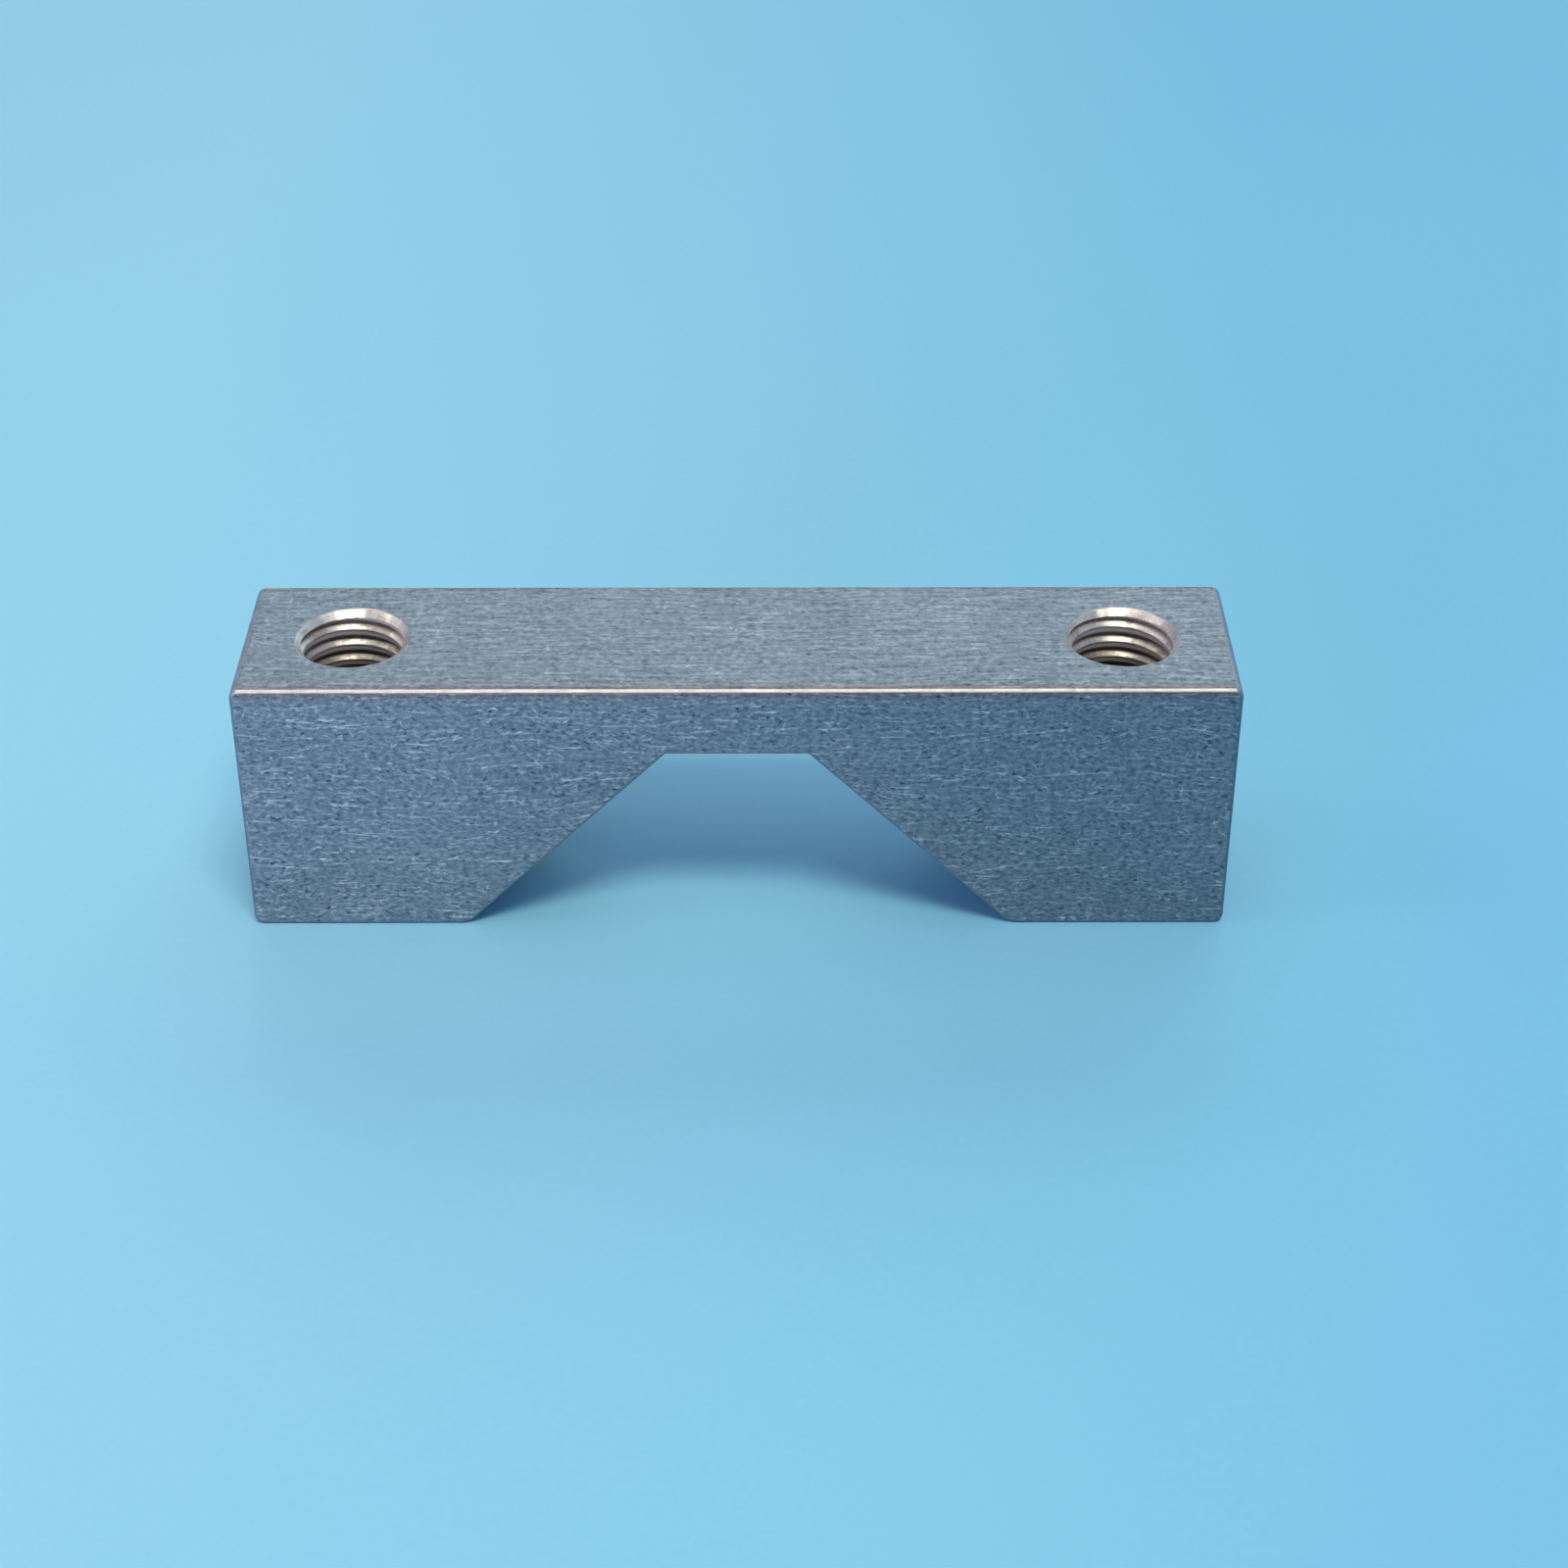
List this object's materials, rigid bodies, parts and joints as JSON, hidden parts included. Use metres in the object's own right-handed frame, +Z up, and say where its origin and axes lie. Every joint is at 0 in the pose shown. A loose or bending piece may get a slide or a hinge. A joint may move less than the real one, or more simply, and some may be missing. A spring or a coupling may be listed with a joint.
{
  "type": "mounting block",
  "caption": "Rectangular steel mounting block with a tapped hole down through each end and a trapezoid relief across its underside that leaves it standing on its end feet.",
  "frame": {"origin": "on the underside of the feet, at the middle of the bounding box in length and depth", "axes": "+X along the length towards the right-hand hole, +Y across the depth to the back, +Z up out of the top face and along both holes"},
  "size_m": [0.07, 0.0144, 0.0198],
  "materials": {
    "tumbled_steel": "tumbled satin grey, covered in fine short scratches along the length",
    "cut_thread": "bright cut metal in the countersinks and threads, slightly warm"
  },
  "bodies": {
    "root": {"mounting_block": "tumbled_steel"}
  },
  "joints": []
}
